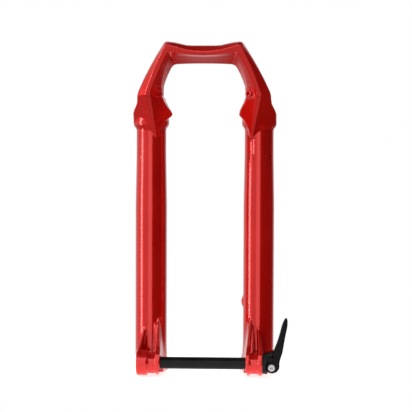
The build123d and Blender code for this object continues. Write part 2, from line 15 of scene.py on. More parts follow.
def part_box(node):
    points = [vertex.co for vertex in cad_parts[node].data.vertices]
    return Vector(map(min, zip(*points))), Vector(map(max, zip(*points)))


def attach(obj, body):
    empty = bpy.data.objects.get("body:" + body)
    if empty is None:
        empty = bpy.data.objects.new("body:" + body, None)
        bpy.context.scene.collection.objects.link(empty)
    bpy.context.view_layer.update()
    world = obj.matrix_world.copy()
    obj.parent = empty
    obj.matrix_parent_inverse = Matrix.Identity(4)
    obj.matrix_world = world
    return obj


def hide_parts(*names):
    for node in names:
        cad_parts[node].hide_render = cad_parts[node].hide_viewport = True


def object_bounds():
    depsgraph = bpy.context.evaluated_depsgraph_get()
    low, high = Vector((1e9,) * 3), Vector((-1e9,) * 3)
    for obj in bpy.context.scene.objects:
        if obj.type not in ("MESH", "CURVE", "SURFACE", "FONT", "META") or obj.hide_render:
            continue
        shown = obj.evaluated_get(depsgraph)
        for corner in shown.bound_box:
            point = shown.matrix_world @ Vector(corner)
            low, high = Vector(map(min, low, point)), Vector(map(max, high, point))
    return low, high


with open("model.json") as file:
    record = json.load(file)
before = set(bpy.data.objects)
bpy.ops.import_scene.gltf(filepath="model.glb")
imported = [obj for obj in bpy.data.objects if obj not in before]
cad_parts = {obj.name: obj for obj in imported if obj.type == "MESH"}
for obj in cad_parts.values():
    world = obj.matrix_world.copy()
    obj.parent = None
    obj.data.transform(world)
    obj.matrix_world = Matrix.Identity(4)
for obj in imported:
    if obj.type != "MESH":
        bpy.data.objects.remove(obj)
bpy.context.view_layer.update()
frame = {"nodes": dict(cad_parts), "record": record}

METRE = 1000.0  # millimetres in a metre


# --- Camera, floor and light --------------------------------------------------------------------
def make_camera():
    """A long lens a little above the legs' middle and a little to the lever's side."""
    azimuth, elevation, roll = (math.radians(a) for a in (2.62, 2.55, 0.2))
    target = Vector((0.0022, 0.020, 0.1958))
    distance = 2.0
    flat = math.cos(elevation)
    back = Vector((math.sin(azimuth) * flat, -math.cos(azimuth) * flat, math.sin(elevation)))
    level = Vector((math.cos(azimuth), math.sin(azimuth), 0))
    upright = back.cross(level)
    right = level * math.cos(roll) + upright * math.sin(roll)
    up = upright * math.cos(roll) - level * math.sin(roll)
    turn = Matrix((right, up, back)).transposed().to_4x4()
    data = bpy.data.cameras.new("camera")
    data.sensor_width = 36
    data.lens = 138.9
    data.clip_end = 30
    camera = bpy.data.objects.new("camera", data)
    camera.matrix_world = Matrix.Translation(target + back * distance) @ turn
    bpy.context.scene.collection.objects.link(camera)
    bpy.context.scene.camera = camera


def make_floor():
    """A small white floor under the legs' feet, bright enough to meet the white behind it."""
    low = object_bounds()[0][2] - 0.0005
    corners = [(-0.2, -0.07, low), (0.2, -0.07, low), (0.2, 0.2, low), (-0.2, 0.2, low)]
    mesh = bpy.data.meshes.new("floor")
    mesh.from_pydata(corners, [], [(0, 1, 2, 3)])
    floor = bpy.data.objects.new("floor", mesh)
    bpy.context.scene.collection.objects.link(floor)
    paint = bpy.data.materials.new("floor_paper")
    paint.use_nodes = True
    shader = paint.node_tree.nodes["Principled BSDF"]
    shader.inputs["Base Color"].default_value = (0.93, 0.93, 0.93, 1)
    shader.inputs["Roughness"].default_value = 0.9
    shader.inputs["Specular IOR Level"].default_value = 0.1
    shader.inputs["Emission Color"].default_value = (1, 1, 1, 1)
    shader.inputs["Emission Strength"].default_value = 0.75
    mesh.materials.append(paint)


def area_light(name, place, aim, size, power):
    """White rectangular lamp at a place, turned to its aim; size in metres, power in watts."""
    data = bpy.data.lights.new(name, "AREA")
    data.shape = "RECTANGLE"
    data.size, data.size_y = size
    data.energy = power
    lamp = bpy.data.objects.new(name, data)
    lamp.location = place
    lamp.rotation_euler = (Vector(aim) - Vector(place)).to_track_quat("-Z", "Y").to_euler()
    bpy.context.scene.collection.objects.link(lamp)


def socket_value(tree, value, target):
    """A number goes on the socket itself, an output socket is linked to it."""
    if isinstance(value, (int, float)):
        target.default_value = value
    else:
        tree.links.new(value, target)


def calc(tree, operation, *values):
    """One math node; values are numbers or output sockets."""
    node = tree.nodes.new("ShaderNodeMath")
    node.operation = operation
    for value, target in zip(values, node.inputs):
        socket_value(tree, value, target)
    return node.outputs[0]


def ramp(tree, value, start, end, low=0.0, high=1.0):
    """Straight ramp from low to high between start and end, level outside them."""
    node = tree.nodes.new("ShaderNodeMapRange")
    for socket, number in zip(("From Min", "From Max", "To Min", "To Max"), (start, end, low, high)):
        node.inputs[socket].default_value = number
    tree.links.new(value, node.inputs["Value"])
    return node.outputs[0]


def product(tree, *values):
    """Product of numbers and output sockets."""
    result = values[0]
    for value in values[1:]:
        result = calc(tree, "MULTIPLY", result, value)
    return result


def greatest(tree, *values):
    """Greatest of numbers and output sockets."""
    result = values[0]
    for value in values[1:]:
        result = calc(tree, "MAXIMUM", result, value)
    return result


def make_world():
    """White to the camera. Round the part, a bright wall on its left that ends just right of the
    camera, a brighter panel beside the camera, a band high in front, white far behind, and dark
    on the right and above. Mirrors see the wall dimmer below the horizon; matt surfaces get an
    even fill as well."""
    wall_light, panel_light, band_light, back_light = 0.8, 1.1, 2.0, 0.9
    least_light, matt_share, fill = 0.03, 0.9, 0.14
    edge = math.radians(10)
    world = bpy.data.worlds.new("studio")
    bpy.context.scene.world = world
    world.use_nodes = True
    tree = world.node_tree
    tree.nodes.clear()
    coords = tree.nodes.new("ShaderNodeTexCoord")
    split = tree.nodes.new("ShaderNodeSeparateXYZ")
    tree.links.new(coords.outputs["Generated"], split.inputs[0])
    x, y, z = split.outputs
    path = tree.nodes.new("ShaderNodeLightPath")
    side = calc(tree, "ADD", product(tree, x, math.cos(edge)), product(tree, y, math.sin(edge)))
    left = ramp(tree, side, 0.04, -0.04, 0.0, wall_light)
    panel = product(tree, ramp(tree, x, -0.36, -0.26), ramp(tree, y, -0.5, -0.7, 0.0, panel_light))
    left = calc(tree, "ADD", left, product(tree, panel, left))
    left = product(tree, left, ramp(tree, z, 0.6, 0.9, 1.0, 0.15))
    high = product(tree, ramp(tree, z, 0.42, 0.5), ramp(tree, z, 0.72, 0.8, 1.0, 0.0))
    across = product(tree, ramp(tree, x, -0.25, -0.1), ramp(tree, x, 0.75, 0.6))
    front = product(tree, ramp(tree, y, -0.1, -0.3), across)
    high = product(tree, high, front, band_light)
    behind = ramp(tree, y, 0.5, 0.9, 0.0, back_light)
    shone = product(tree, left, ramp(tree, z, -0.45, -0.1, 0.35, 1.0))
    glossy = greatest(tree, shone, behind, high, least_light)
    matt = greatest(tree, product(tree, left, matt_share), ramp(tree, y, -0.3, 0.6, 0.34, 0.8))
    matt = calc(tree, "ADD", matt, fill)
    share = path.outputs["Is Glossy Ray"]
    rest = calc(tree, "SUBTRACT", 1.0, share)
    strength = calc(tree, "ADD", product(tree, glossy, share), product(tree, matt, rest))
    sky = tree.nodes.new("ShaderNodeBackground")
    tree.links.new(strength, sky.inputs["Strength"])
    white = tree.nodes.new("ShaderNodeBackground")
    white.inputs["Color"].default_value = (1, 1, 1, 1)
    mix = tree.nodes.new("ShaderNodeMixShader")
    out = tree.nodes.new("ShaderNodeOutputWorld")
    tree.links.new(path.outputs["Is Camera Ray"], mix.inputs["Fac"])
    tree.links.new(sky.outputs[0], mix.inputs[1])
    tree.links.new(white.outputs[0], mix.inputs[2])
    tree.links.new(mix.outputs[0], out.inputs["Surface"])


def light_stage():
    """One tall key lamp far out on the left, and plain colours with no film curve."""
    area_light("key", (-1.9, -0.62, 0.35), (0, 0.02, 0.2), (0.42, 1.8), 15)
    bpy.context.scene.view_settings.view_transform = "Standard"


# --- Distance fields in millimetres ---------------------------------------------------------------
def cut_round(a, b, radius):
    """Where both fields are negative, with the edge between them rounded by the radius."""
    inside = np.minimum(np.maximum(a, b), -radius)
    return inside + np.hypot(np.maximum(a + radius, 0), np.maximum(b + radius, 0))


def join_round(a, b, radius):
    """Where either field is negative, with a fillet of the radius between them."""
    outside = np.maximum(np.minimum(a, b), radius)
    return outside - np.hypot(np.maximum(radius - a, 0), np.maximum(radius - b, 0))


def outline_field(u, v, points):
    """Signed distance to a closed outline: nearest point of every side, negative inside by the
    even-odd rule."""
    nearest = np.full(np.broadcast(u, v).shape, 1e9)
    inside = np.zeros(nearest.shape, bool)
    for (u0, v0), (u1, v1) in zip(points, points[1:] + points[:1]):
        du, dv = u1 - u0, v1 - v0
        share = np.clip(((u - u0) * du + (v - v0) * dv) / (du * du + dv * dv), 0, 1)
        nearest = np.minimum(nearest, (u - u0 - du * share) ** 2 + (v - v0 - dv * share) ** 2)
        if dv:
            across = u0 + (v - v0) * du / dv
            inside ^= ((v0 > v) != (v1 > v)) & (u < across)
    return np.where(inside, -1, 1) * np.sqrt(nearest)


def plane_field(points, inside):
    """A plane through three points as (normal, offset), with its negative side at inside."""
    a, b, c = (np.array(p, float) for p in points)
    normal = np.cross(b - a, c - a)
    normal /= np.linalg.norm(normal)
    if normal @ (np.array(inside, float) - a) > 0:
        normal = -normal
    return normal, normal @ a


def beyond(plane, x, y, z):
    """Signed distance to a plane, positive on its outer side."""
    normal, offset = plane
    return normal[0] * x + normal[1] * y + normal[2] * z - offset


def smooth_outline(points, steps=6):
    """Closed curve through the points: a Catmull-Rom spline with so many steps a side."""
    p = np.array(points, float)
    before, after, far = np.roll(p, 1, 0), np.roll(p, -1, 0), np.roll(p, -2, 0)
    t = np.linspace(0, 1, steps, endpoint=False)[:, None, None]
    curve = 0.5 * (2 * p + (after - before) * t + (2 * before - 5 * p + 4 * after - far) * t**2
                   + (3 * p - before - 3 * after + far) * t**3)
    return [tuple(q) for q in curve.transpose(1, 0, 2).reshape(-1, 2)]


def slope_of(field, points, step=0.15):
    """Unit direction in which the field grows, by differences either side of each point."""
    grown = np.empty_like(points)
    for k in range(3):
        ahead, behind = points.copy(), points.copy()
        ahead[:, k] += step
        behind[:, k] -= step
        grown[:, k] = field(*ahead.T) - field(*behind.T)
    length = np.linalg.norm(grown, axis=1, keepdims=True)
    return grown / np.maximum(length, 1e-9)


def contour(field, xs, ys, zs):
    """Closed mesh of a field's zero surface. Every grid edge that the surface crosses gives a
    point and a direction; each cell's corner is the spot that best fits the planes of its
    crossings; every crossing gives one four-sided face."""
    axes = [np.asarray(a, float) for a in (xs, ys, zs)]
    value = np.empty([len(a) for a in axes])
    for k in range(len(axes[2])):
        value[:, :, k] = field(axes[0][:, None], axes[1][None, :], axes[2][k])
    inside = value < 0
    shape = np.array(value.shape)
    points, cells, turned = [], [], []
    for k in range(3):
        near = [slice(None)] * 3
        far = [slice(None)] * 3
        near[k], far[k] = slice(0, -1), slice(1, None)
        near, far = tuple(near), tuple(far)
        at = np.argwhere(inside[near] != inside[far])
        step = np.zeros(3, int)
        step[k] = 1
        a = value[tuple(at.T)]
        b = value[tuple((at + step).T)]
        place = np.stack([axes[j][at[:, j]] for j in range(3)], 1)
        place[:, k] += a / (a - b) * (axes[k][at[:, k] + 1] - axes[k][at[:, k]])
        i, j = (k + 1) % 3, (k + 2) % 3
        corners = []
        for back_i, back_j in ((0, 0), (1, 0), (1, 1), (0, 1)):
            cell = at.copy()
            cell[:, i] -= back_i
            cell[:, j] -= back_j
            corners.append(np.ravel_multi_index(cell.T, shape))
        points.append(place)
        cells.append(np.stack(corners, 1))
        turned.append(a > 0)
    points, cells, turned = np.concatenate(points), np.concatenate(cells), np.concatenate(turned)
    normals = slope_of(field, points)
    for _ in range(2):
        miss = field(*points.T)
        rate = (field(*(points + 0.1 * normals).T) - miss) / 0.1
        points -= normals * (np.clip(miss / np.maximum(rate, 0.3), -0.6, 0.6))[:, None]
    normals = slope_of(field, points)
    used, index = np.unique(cells, return_inverse=True)
    index = index.reshape(cells.shape)
    count = len(used)

    def sums(worth):
        return np.bincount(index.ravel(), np.repeat(worth, 4), count)

    weight = sums(np.ones(len(points)))
    centre = np.stack([sums(points[:, k]) for k in range(3)], 1) / weight[:, None]
    fit = np.zeros((count, 3, 3))
    goal = np.zeros((count, 3))
    for k in range(4):
        reach = np.einsum("ij,ij->i", normals, points - centre[index[:, k]])
        for a in range(3):
            goal[:, a] += np.bincount(index[:, k], normals[:, a] * reach, count)
            for b in range(3):
                fit[:, a, b] += np.bincount(index[:, k], normals[:, a] * normals[:, b], count)
    fit += 0.06 * weight[:, None, None] * np.eye(3)
    corner = centre + np.linalg.solve(fit, goal[:, :, None])[:, :, 0]
    cell = np.stack(np.unravel_index(used, shape), 1)
    low = np.stack([axes[k][cell[:, k]] for k in range(3)], 1)
    high = np.stack([axes[k][cell[:, k] + 1] for k in range(3)], 1)
    corner = np.clip(corner, low, high)
    faces = np.where(turned[:, None], index[:, ::-1], index)
    return corner, faces, slope_of(field, corner, 0.25)


def solid_piece(name, field, xs, ys, zs, material):
    """A closed, smooth mesh object of a field, with its normals taken from the field."""
    corner, faces, normals = contour(field, xs, ys, zs)
    mesh = bpy.data.meshes.new(name)
    mesh.vertices.add(len(corner))
    mesh.vertices.foreach_set("co", (corner / METRE).ravel())
    mesh.loops.add(faces.size)
    mesh.loops.foreach_set("vertex_index", faces.ravel())
    mesh.polygons.add(len(faces))
    mesh.polygons.foreach_set("loop_start", np.arange(len(faces)) * 4)
    mesh.update(calc_edges=True)
    mesh.validate()
    mesh.polygons.foreach_set("use_smooth", np.ones(len(mesh.polygons), bool))
    mesh.normals_split_custom_set_from_vertices(normals)
    mesh.materials.append(material)
    piece = bpy.data.objects.new(name, mesh)
    bpy.context.scene.collection.objects.link(piece)
    print(name, len(corner), "corners", len(faces), "faces")
    return piece


def steps(start, end, size):
    """Evenly spaced grid lines, no further apart than the size."""
    return np.linspace(start, end, int(math.ceil((end - start) / size)) + 1)


def span(node):
    """Lowest and highest corner of a CAD node, in millimetres."""
    low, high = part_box(node)
    return np.array(low) * METRE, np.array(high) * METRE


# --- Sizes read from the frame --------------------------------------------------------------------
bushing_low, bushing_high = span("left_upper_bushing")
leg_x = (bushing_low[0] + bushing_high[0]) / 2
leg_y = (bushing_low[1] + bushing_high[1]) / 2
bore_radius = (bushing_high[0] - bushing_low[0]) / 2 + 0.15
casting_low, casting_high = span("lower_casting")
leg_foot = casting_low[2]
seal_low, seal_high = span("left_wiper_seal")
leg_top = seal_high[2] - 3.0
seal_radius = (seal_high[0] - seal_low[0]) / 2 + 0.1
foam_low, foam_high = span("left_foam_ring")
foam_radius = (foam_high[0] - foam_low[0]) / 2 + 0.1
sleeve_low, sleeve_high = span("axle_sleeve")
sleeve_radius = (sleeve_high[2] - sleeve_low[2]) / 2 + 0.1
lever_face = sleeve_high[0]
insert_low, insert_high = span("thread_insert")
thread_face = -insert_low[0]
insert_radius = 10.6
flange_radius = (insert_high[2] - insert_low[2]) / 2 + 0.1
pin_low, pin_high = span("cam_pin")
pin_x = (pin_low[0] + pin_high[0]) / 2
pin_z = (pin_low[2] + pin_high[2]) / 2
pin_radius = (pin_high[0] - pin_low[0]) / 2
cup_low, cup_high = span("lever_cup")
lever_low, lever_high = span("cam_lever")
follower_low, follower_high = span("cam_follower")
slots = {part["node"]: part["material_slot"] for part in frame["record"]["subparts"]}


# --- Casting --------------------------------------------------------------------------------------
CROWN_LOW = 272.0  # nothing of the gusset or the arch lies below this height
ARCH_FOOT = 318.0
ARCH_FRONT = -2.0
ARCH_DEPTH = 24.0
ARCH_CHAMFER = 9.0
ARCH_LEAN = math.tan(math.radians(16))
RECESS = 8.0
WALL = 4.0

crease_line = [
    (68.4, ARCH_FOOT), (72.4, 335), (61.4, 365.5), (48.2, 392.6), (46.8, 394.3), (43.2, 395.6),
    (34, 393.2), (22, 389.9), (10, 388.0), (0, 387.6),
]
outer_line = [
    (84.0, ARCH_FOOT), (83.9, 328), (83.4, 334.8), (82.3, 338.8), (75.5, 353.3), (67.8, 367.9),
    (59.3, 382.5), (50.1, 397), (47.8, 399.6), (44.5, 400.4), (36, 399.3), (28.5, 397.6),
    (21, 395.9), (14, 395.4), (0, 395.3),
]
band_line = [
    (63.4, ARCH_FOOT), (65.6, 338), (60.6, 351.2), (53.0, 367.6), (46.6, 380.6), (43.4, 385.8),
    (40.6, 387.2), (36, 386.8), (28.8, 385.3), (14.4, 383.4), (0, 382.9),
]
middle_line = [
    (52.0, ARCH_FOOT), (52.6, 334), (53.4, 341), (53.4, 346.7), (51.7, 355.4), (47.8, 367.6),
    (42.4, 379.8), (40.6, 382.2), (37.5, 382.9), (28, 382.2), (14, 381.6), (0, 381.3),
]
inner_line = [
    (47.5, ARCH_FOOT), (50.4, 334), (51.0, 339), (50.3, 346), (47.7, 353.6), (44.5, 361),
    (40.6, 368.4), (38.2, 371.0), (35.4, 372.3), (30.0, 372.9), (20, 373.3), (10, 373.5),
    (0, 373.5),
]


def both_halves(half):
    """Closed outline over both halves, carried well below the arch's foot."""
    half = [(half[0][0], ARCH_FOOT - 12)] + half
    return half + [(-x, z) for x, z in reversed(half) if x > 0]


outlines = {name: both_halves(line) for name, line in
            (("crease", crease_line), ("outer", outer_line), ("band", band_line),
             ("middle", middle_line), ("inner", inner_line))}


def arch_front(z):
    """Depth of the arch's front face at a height; it leans forwards as it rises."""
    return ARCH_FRONT - (z - ARCH_FOOT) * ARCH_LEAN


def arch_field(x, y, z):
    """The leaning arch: outlines at its front and back blend with depth, and the inner outline
    is cut out of the outer one."""
    depth = y - arch_front(z)
    lean = math.cos(math.atan(ARCH_LEAN))
    outer = outline_field(x, z, outlines["outer"])
    crease = outline_field(x, z, outlines["crease"])
    band = outline_field(x, z, outlines["band"])
    inner = outline_field(x, z, outlines["inner"])
    chamfer = crease + (outer - crease) * depth / ARCH_CHAMFER
    pitch = np.hypot(1, np.clip((crease - outer) / ARCH_CHAMFER, 0.3, 1.6))
    outside = cut_round(chamfer / pitch, outer, 2.2)
    outside = cut_round(outside, -depth * lean, 0.7)
    outside = cut_round(outside, (depth - ARCH_DEPTH) * lean, 1.4)
    # The opening has a steep facet in front, deeper at the arch's foot, and a gentle one behind
    middle = outline_field(x, z, outlines["middle"])
    turn = np.interp(z, (334, 345, 360, 381), (18.5, 14.0, 10.5, 7.0))
    front = band + (middle - band) * depth / turn
    back = middle + (inner - middle) * (depth - turn) / (ARCH_DEPTH - turn)
    front = front / np.hypot(1, np.clip((middle - band) / turn, 0, 1.5))
    back = back / np.hypot(1, np.clip((inner - middle) / (ARCH_DEPTH - turn), 0, 1.0))
    body = cut_round(outside, -np.where(depth < turn, front, back), 0.7)
    slope = (ARCH_DEPTH - depth) * 0.55
    channel = np.maximum(outer + WALL, WALL + slope - inner)
    channel = cut_round(channel, (ARCH_DEPTH - RECESS - depth) * lean, 2.0)
    return cut_round(body, -channel, 0.7)


MEET_LOW = 331.5
MEET_HIGH = 337.0

# The gusset's faces meet at a point on the front of the leg
outer_tip = (60.0, 20.2, 279.0)
inner_tip = (58.6, 20.4, 279.0)
shoulder = (72.4, arch_front(335), 335.0)
band_shoulder = (65.6, arch_front(338), 338.0)
wing_tip = (42.0, 27.0, 311.0)
heart = (66.0, 24.0, 318.0)
gusset_outer = plane_field([shoulder, outer_tip, (80.9, 17.6, 306.0)], heart)
gusset_front = plane_field([shoulder, band_shoulder, inner_tip], heart)
gusset_inner = plane_field([band_shoulder, inner_tip, wing_tip], heart)
# Inner edge of the gusset as (height, distance from the middle plane)
gusset_edge = [
    (279, 58.2), (283, 56.2), (291.4, 54.0), (299.1, 51.4), (303.5, 48.0), (307.2, 43.6),
    (309.6, 41.0), (311.4, 40.9), (315.0, 42.6), (320, 45.6), (326, 48.4), (332.3, 50.2),
    (340, 51.1),
]
gusset_flare = [
    (279, 90.0), (312, 90.0), (316.5, 88.4), (320.5, 86.2), (324.5, 84.4), (328, 83.9),
    (334.8, 83.4), (338.8, 82.3),
]


def gusset_field(side, y, z):
    """Three-sided wedge under the arch, that wraps the collar's front and ends in a point. Its wing
    is a little shorter on the lever side."""
    x = np.abs(side)
    faces = cut_round(beyond(gusset_outer, x, y, z), beyond(gusset_inner, x, y, z), 0.8)
    faces = cut_round(faces, beyond(gusset_front, x, y, z), 0.6)
    levels, edge = zip(*gusset_edge)
    shorter = np.where(side > 0, 2.4 * np.exp(-((z - 310) / 6.0) ** 2), 0)
    inner = (np.interp(z, levels, edge) + shorter + (27 - y) * 0.12 - x) * 0.85
    levels, flare = zip(*gusset_flare)
    outer = (x - np.interp(z, levels, flare)) * 0.9
    faces = cut_round(faces, inner, 1.0)
    faces = cut_round(faces, outer, 1.5)
    return cut_round(faces, y - leg_y + 5, 3.0)


def crown_field(x, y, z):
    """Gusset below, arch above, and an even blend of the two over the few millimetres between."""
    low, high = z.min(), z.max()
    share = np.clip((z - MEET_LOW) / (MEET_HIGH - MEET_LOW), 0, 1)
    gusset = gusset_field(x, y, z) if low < MEET_HIGH else 0.0
    arch = arch_field(x, y, z) if high > MEET_LOW else 0.0
    return np.where(z > CROWN_LOW, gusset * (1 - share) + arch * share, 50.0)


def leg_radius(z):
    """The leg's outside: foot, straight tube, a slow taper to the neck, then the collar."""
    heights = [leg_foot, leg_foot + 6.5, leg_foot + 10.5, 197, 261, 290.5, 293, 297.0, 299.5]
    radii = [11.5, 17.9, 19.4, 19.4, 18.3, 18.3, 18.9, 21.6, 22.0]
    return np.interp(z, heights, radii)


LEG_STOUTER = 0.5  # by which the thread side's leg is larger on radius, and its axis further in


def leg_field(x, y, z):
    """Both legs; the one on the thread side is a little stouter towards the wheel."""
    stouter = np.where(x < 0, LEG_STOUTER, 0.0)
    radius = np.hypot(np.abs(x) - leg_x + stouter, y - leg_y) - stouter
    rise = np.clip(leg_radius(z + 0.5) - leg_radius(z - 0.5), -2, 2)
    tube = (radius - leg_radius(z)) / np.hypot(1, rise)
    tube = cut_round(tube, z - leg_top, 1.4)
    return cut_round(tube, leg_foot - z, 0.8)


def bore_field(x, y, z):
    """Everything inside a leg: bore, foam seat, seal seat and foot-bolt hole."""
    radius = np.hypot(x - leg_x, y - leg_y)
    bore = np.maximum(radius - bore_radius, leg_foot + 11 - z)
    seats = np.maximum(radius - foam_radius, foam_low[2] - 0.1 - z)
    seal = np.maximum(radius - seal_radius, seal_low[2] - 0.1 - z)
    return np.minimum(np.minimum(bore, seats), np.minimum(seal, radius - 4.1))


def rib_field(x, y, z, top, inner, outer, levels, radius):
    """A dropout rib: round the axle, up to a point on the leg's front. Its two sides follow the
    distances in inner and outer at the given levels."""
    disc = np.hypot(y, z) - radius
    root = leg_y - 6
    corners = [(-radius * 0.55, radius * 0.8), (leg_y - 16.5, top), (root, top + 6), (root, -12.5)]
    web = outline_field(y, z, corners + [(2, -12.5)])
    side = join_round(disc, web, 8)
    low = np.interp(z, levels, inner)
    high = np.interp(z, levels, outer)
    return cut_round(side, np.abs(x - (low + high) / 2) - (high - low) / 2, 0.9)


def slab_field(value, low, high):
    """Signed distance to the slab between two levels."""
    return np.abs(value - (low + high) / 2) - (high - low) / 2


def lever_dropout_field(x, y, z):
    """Dropout on the lever side: two ribs, a slimmer boss between them and a web behind."""
    inner = rib_field(x, y, z, 55, (53.3, 53.7, 59.0),
                      (58.9, 58.0, 60.2), (-15, 14, 56), 13.9)
    outer = rib_field(x, y, z, 46, (68.9, 69.2, 67.8),
                      (lever_face, lever_face, 69.4), (-15, 14, 48), 13.9)
    middle = cut_round(np.hypot(y, z) - 12.3, slab_field(x, 54, lever_face - 1), 0.6)
    back = cut_round(slab_field(y, -6, 30), slab_field(z, -12, 9.5), 2.5)
    back = cut_round(back, slab_field(x, 54, lever_face - 1), 0.8)
    return join_round(join_round(inner, outer, 0.5), join_round(middle, back, 2.0), 1.8)


def thread_dropout_field(x, y, z):
    """Dropout on the thread side: a stout end boss, a waist and a thin inner lip."""
    inner = rib_field(x, y, z, 55, (54.3, 53.4, 56.6),
                      (58.6, 59.4, 58.0), (-15, 14, 57), 13.6)
    outer = rib_field(x, y, z, 44, (78.8, 78.4, 72.6),
                      (thread_face, thread_face, 74.6), (-15, 12, 43), 14.8)
    boss = cut_round(np.hypot(y, z) - 16.1, slab_field(x, 69.3, thread_face), 1.6)
    middle = cut_round(np.hypot(y, z) - 12.6, slab_field(x, 54.5, 80), 0.6)
    back = cut_round(slab_field(y, -6, 30), slab_field(z, -12.3, 10.5), 2.5)
    back = cut_round(back, slab_field(x, 54.5, thread_face - 1), 0.8)
    ends = join_round(join_round(inner, outer, 0.5), boss, 1.5)
    return join_round(ends, join_round(middle, back, 2.0), 1.8)


web_face = plane_field([(53.4, 4.0, 0.0), (57.2, 13.0, 50.0), (49.4, 30.0, 8.0)], (62.0, 20.0, 0.0))


def web_field(x, y, z):
    """Flat web from the dropout's inner edge back to the inner side of the leg."""
    side = outline_field(y, z, [(3, -11), (3, 9), (15, 46), (leg_y, 56), (leg_y, -14), (14, -14)])
    side = cut_round(side, beyond(web_face, x, y, z), 0.8)
    return np.maximum(side, x - 62)


POST_X = 53.4
POST_LEVELS = (0.5, 74.5)
POST_END = 62.0
POST_HOLE = 3.0  # radius of a post's bolt hole


def post_field(x, y, z, level):
    """Tapered brake post behind the leg, from a wide root to a flat face."""
    barrel = np.hypot(x - POST_X, z - level) - 6.5
    root = (np.hypot(x - 60.5, z - level) - np.interp(y, (leg_y, 56.0), (11.5, 7.0))) * 0.96
    root = cut_round(root, y - 54.0, 2.5)
    return np.maximum(join_round(cut_round(barrel, y - POST_END, 0.8), root, 2.0), leg_y - y)


def post_hole(x, y, z, level):
    """Blind bolt hole in a post's flat face."""
    return np.maximum(np.hypot(x - POST_X, z - level) - POST_HOLE, 48.0 - y)


HOSE_Z = 336.5
HOSE_TURN = math.radians(40)
hose_mouth = (54.5, arch_front(HOSE_Z) + 6.5)


def hose_field(x, y, z):
    """Boss for the brake hose's clip, turned towards the front, as (outside, hole)."""
    dx, dy = x - hose_mouth[0], y - hose_mouth[1]
    along = dx * math.cos(HOSE_TURN) + dy * math.sin(HOSE_TURN)
    across = -dx * math.sin(HOSE_TURN) + dy * math.cos(HOSE_TURN)
    round_part = cut_round(np.hypot(across, z - HOSE_Z) - 5.2, slab_field(along, 0, 14), 0.7)
    block = cut_round(slab_field(across, -6, 8), slab_field(z, HOSE_Z - 6.2, HOSE_Z + 6.2), 1.2)
    block = cut_round(block, slab_field(along, 3.2, 15), 0.7)
    hole = np.maximum(np.hypot(across, z - HOSE_Z) - 2.5, slab_field(along, -4, 8))
    return np.minimum(round_part, block), hole


def casting_field(x, y, z):
    """The whole casting. Each feature is worked out only at the heights where it lies."""
    x, y, z = np.broadcast_arrays(np.asarray(x, float), y, z)
    low, high = z.min(), z.max()
    reach = np.abs(x)
    body = leg_field(x, y, z)
    if high > CROWN_LOW:
        body = join_round(body, crown_field(x, y, z), 1.6)
    if high > 325 and low < 350:
        boss, hole = hose_field(x, y, z)
        body = join_round(body, boss, 1.2)
        body = np.maximum(body, -hole)
    if low < 95:
        posts = np.minimum(*(post_field(x, y, z, level) for level in POST_LEVELS))
        body = join_round(body, posts, 3.5)
    if low < 75:
        right = np.minimum(lever_dropout_field(reach, y, z), 50.0)
        left = thread_dropout_field(reach, y, z)
        body = join_round(body, np.where(x > 0, right, left), 2.0)
        body = join_round(body, web_field(reach, y, z), 1.5)
        ring = np.hypot(y, z)
        cap = np.minimum(ring - 10.5, np.maximum(np.abs(y) - 10.5, z))
        body = cut_round(body, -np.maximum(cap, reach - 55.0), 0.4)
        axle_hole = np.where(x > 0, ring - sleeve_radius, ring - 7.75)
        insert = np.maximum(ring - insert_radius, x + thread_face - 16.1)
        flange = np.maximum(ring - flange_radius, x + thread_face - 1.6)
        body = np.maximum(body, -np.minimum(axle_hole, np.minimum(insert, flange)))
    if low < 95:
        for level in POST_LEVELS:
            body = np.maximum(body, -post_hole(x, y, z, level))
    return cut_round(body, -bore_field(reach, y, z), 0.3)


def make_casting(material):
    """The casting, on a grid that is fine at the dropouts and the crown and long on the legs."""
    margin, fine, long_step, crown = 2.5, 1.12, 9.0, 1.0
    xs = steps(casting_low[0] - margin, casting_high[0] + margin, fine)
    ys = steps(casting_low[1] - margin, casting_high[1] + margin, fine)
    zs = np.concatenate([steps(leg_foot - margin, 86, fine), steps(86, 258, long_step)[1:],
                         steps(258, casting_high[2] + margin, crown)[1:]])
    piece = solid_piece("casting", casting_field, xs, ys, zs, material)
    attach(piece, "lowers")
    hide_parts("lower_casting")


# --- Lever, its cup and the cam pin ---------------------------------------------------------------
# Side view of the lever round its pin: outer side from the cam up to the tip, then the inner side down
blade_outer = [
    (4.6, -5.0), (8.0, -2.9), (9.9, 0.0), (9.9, 5.0), (10.7, 9.4), (12.3, 15.0), (13.8, 20.7),
    (15.6, 31.0), (17.2, 40.0), (18.7, 47.0), (19.6, 52.5), (19.8, 56.4), (19.6, 59.0),
    (18.7, 60.9),
]
blade_inner = [
    (17.2, 61.1), (15.6, 59.2), (13.6, 54.6), (12.0, 49.6), (10.8, 44.6), (8.8, 37.4), (6.0, 28.7),
    (3.2, 21.6), (2.5, 15.2), (1.2, 11.8), (-1.2, 9.2), (-3.4, 5.0),
]
CAM_RADIUS = 7.9
LEVER_SLOT = 3.5  # half the width of the slot for the cup's tongue
PIN_ROOM = 0.06  # the pin's hole is this much wider on radius

blade_loop = smooth_outline(blade_outer + blade_inner, 3)


